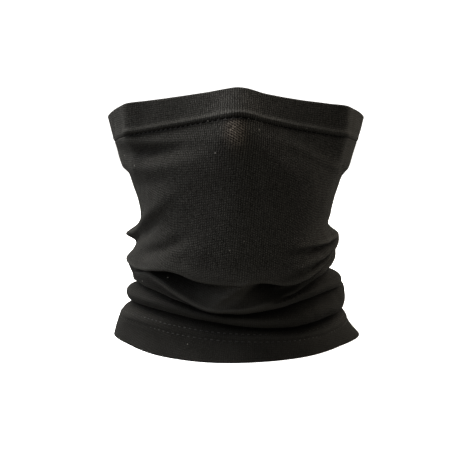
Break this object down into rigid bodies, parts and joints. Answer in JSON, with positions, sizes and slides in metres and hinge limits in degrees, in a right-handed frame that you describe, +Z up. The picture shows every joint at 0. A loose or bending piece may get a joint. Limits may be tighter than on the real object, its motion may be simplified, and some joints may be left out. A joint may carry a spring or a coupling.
{
  "type": "neck gaiter",
  "caption": "Stretch jersey neck gaiter shaped as worn: peaked folded top band, gathered rolls round the neck, flared turned-up hem.",
  "frame": {"origin": "centre of the bounding box in plan, on the surface that the hem stands on", "axes": "+Z up; -Y is the way the wearer's face looks, where the top edge peaks over the nose; +X is the wearer's left"},
  "size_m": [0.1594, 0.1839, 0.153],
  "materials": {
    "jersey": "matt black weft-knit jersey",
    "thread": "black textured polyester sewing thread",
    "label": "off-white satin label tape, blank"
  },
  "bodies": {
    "gaiter": {"body_tube": "jersey", "top_band": "jersey", "band_seam_needle_thread": "thread", "band_seam_lower_looper_thread": "thread", "band_seam_upper_looper_thread": "thread", "hem_upper_needle_thread": "thread", "hem_lower_needle_thread": "thread", "hem_looper_thread": "thread", "back_seam_needle_thread": "thread", "back_seam_looper_thread": "thread", "band_closing_seam_thread": "thread"},
    "label": {"care_label": "label"}
  },
  "joints": [
    {"name": "label_flap", "type": "hinge", "parent": "gaiter", "child": "label", "pos_m": [0, 0.08057, 0.11566], "axis": [-1, 0, 0], "range_deg": [0, 150]}
  ]
}
